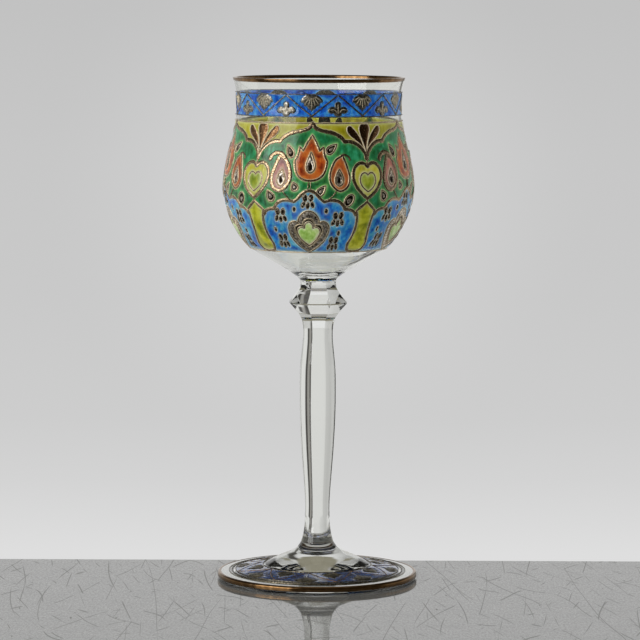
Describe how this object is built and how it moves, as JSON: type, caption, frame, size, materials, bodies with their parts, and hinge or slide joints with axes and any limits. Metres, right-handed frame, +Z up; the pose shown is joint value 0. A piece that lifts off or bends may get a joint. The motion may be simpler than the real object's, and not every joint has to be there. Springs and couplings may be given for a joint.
{
  "type": "goblet",
  "caption": "Stemmed wine goblet of clear glass: waisted bowl with a raised enamel and gold arcade, cut stem with a knop and wide domed foot.",
  "frame": {"origin": "centre of the circle that the foot stands on", "axes": "+Z up along the stem to the rim, -Y towards the side that the picture shows"},
  "size_m": [0.0816, 0.0816, 0.205],
  "materials": {
    "glass": "clear, polished",
    "gold": "gilding, granular, burnished on the lip and the foot's edge",
    "blue_enamel": "glossy enamel, mottled",
    "dark_blue_enamel": "glossy enamel, mottled",
    "yellow_enamel": "glossy enamel",
    "green_enamel": "glossy enamel, raised",
    "red_brown_enamel": "glossy enamel, raised",
    "orange_brown_enamel": "glossy enamel, raised",
    "olive_enamel": "glossy enamel, raised",
    "olive_green_enamel": "glossy enamel, raised",
    "leaf_green_enamel": "glossy enamel, raised"
  },
  "bodies": {
    "root": {"bowl": "glass", "stem": "glass", "foot": "glass", "lip_gilding": "gold", "foot_edge_gilding": "gold", "neck_band_enamel": "blue_enamel", "neck_band_gilding": "gold", "foot_band_enamel": "dark_blue_enamel", "foot_band_gilding": "gold", "arcade_gilding": "gold", "spandrel_yellow_1": "yellow_enamel", "spandrel_yellow_2": "yellow_enamel", "spandrel_yellow_3": "yellow_enamel", "spandrel_yellow_4": "yellow_enamel", "spandrel_yellow_5": "yellow_enamel", "field_green_1": "green_enamel", "field_green_2": "green_enamel", "field_green_3": "green_enamel", "field_green_4": "green_enamel", "field_green_5": "green_enamel", "tulip_1": "red_brown_enamel", "tulip_2": "red_brown_enamel", "tulip_3": "red_brown_enamel", "tulip_4": "red_brown_enamel", "tulip_5": "red_brown_enamel", "boteh_left_1": "orange_brown_enamel", "boteh_left_2": "orange_brown_enamel", "boteh_left_3": "orange_brown_enamel", "boteh_left_4": "orange_brown_enamel", "boteh_left_5": "orange_brown_enamel", "boteh_right_1": "orange_brown_enamel", "boteh_right_2": "orange_brown_enamel", "boteh_right_3": "orange_brown_enamel", "boteh_right_4": "orange_brown_enamel", "boteh_right_5": "orange_brown_enamel", "heart_1": "olive_enamel", "heart_2": "olive_enamel", "heart_3": "olive_enamel", "heart_4": "olive_enamel", "heart_5": "olive_enamel", "vase_stem_1": "olive_green_enamel", "vase_stem_2": "olive_green_enamel", "vase_stem_3": "olive_green_enamel", "vase_stem_4": "olive_green_enamel", "vase_stem_5": "olive_green_enamel", "cartouche_blue_1": "blue_enamel", "cartouche_blue_2": "blue_enamel", "cartouche_blue_3": "blue_enamel", "cartouche_blue_4": "blue_enamel", "cartouche_blue_5": "blue_enamel", "medallion_gilding_1": "gold", "medallion_gilding_2": "gold", "medallion_gilding_3": "gold", "medallion_gilding_4": "gold", "medallion_gilding_5": "gold", "medallion_leaf_1": "leaf_green_enamel", "medallion_leaf_2": "leaf_green_enamel", "medallion_leaf_3": "leaf_green_enamel", "medallion_leaf_4": "leaf_green_enamel", "medallion_leaf_5": "leaf_green_enamel"}
  },
  "joints": []
}
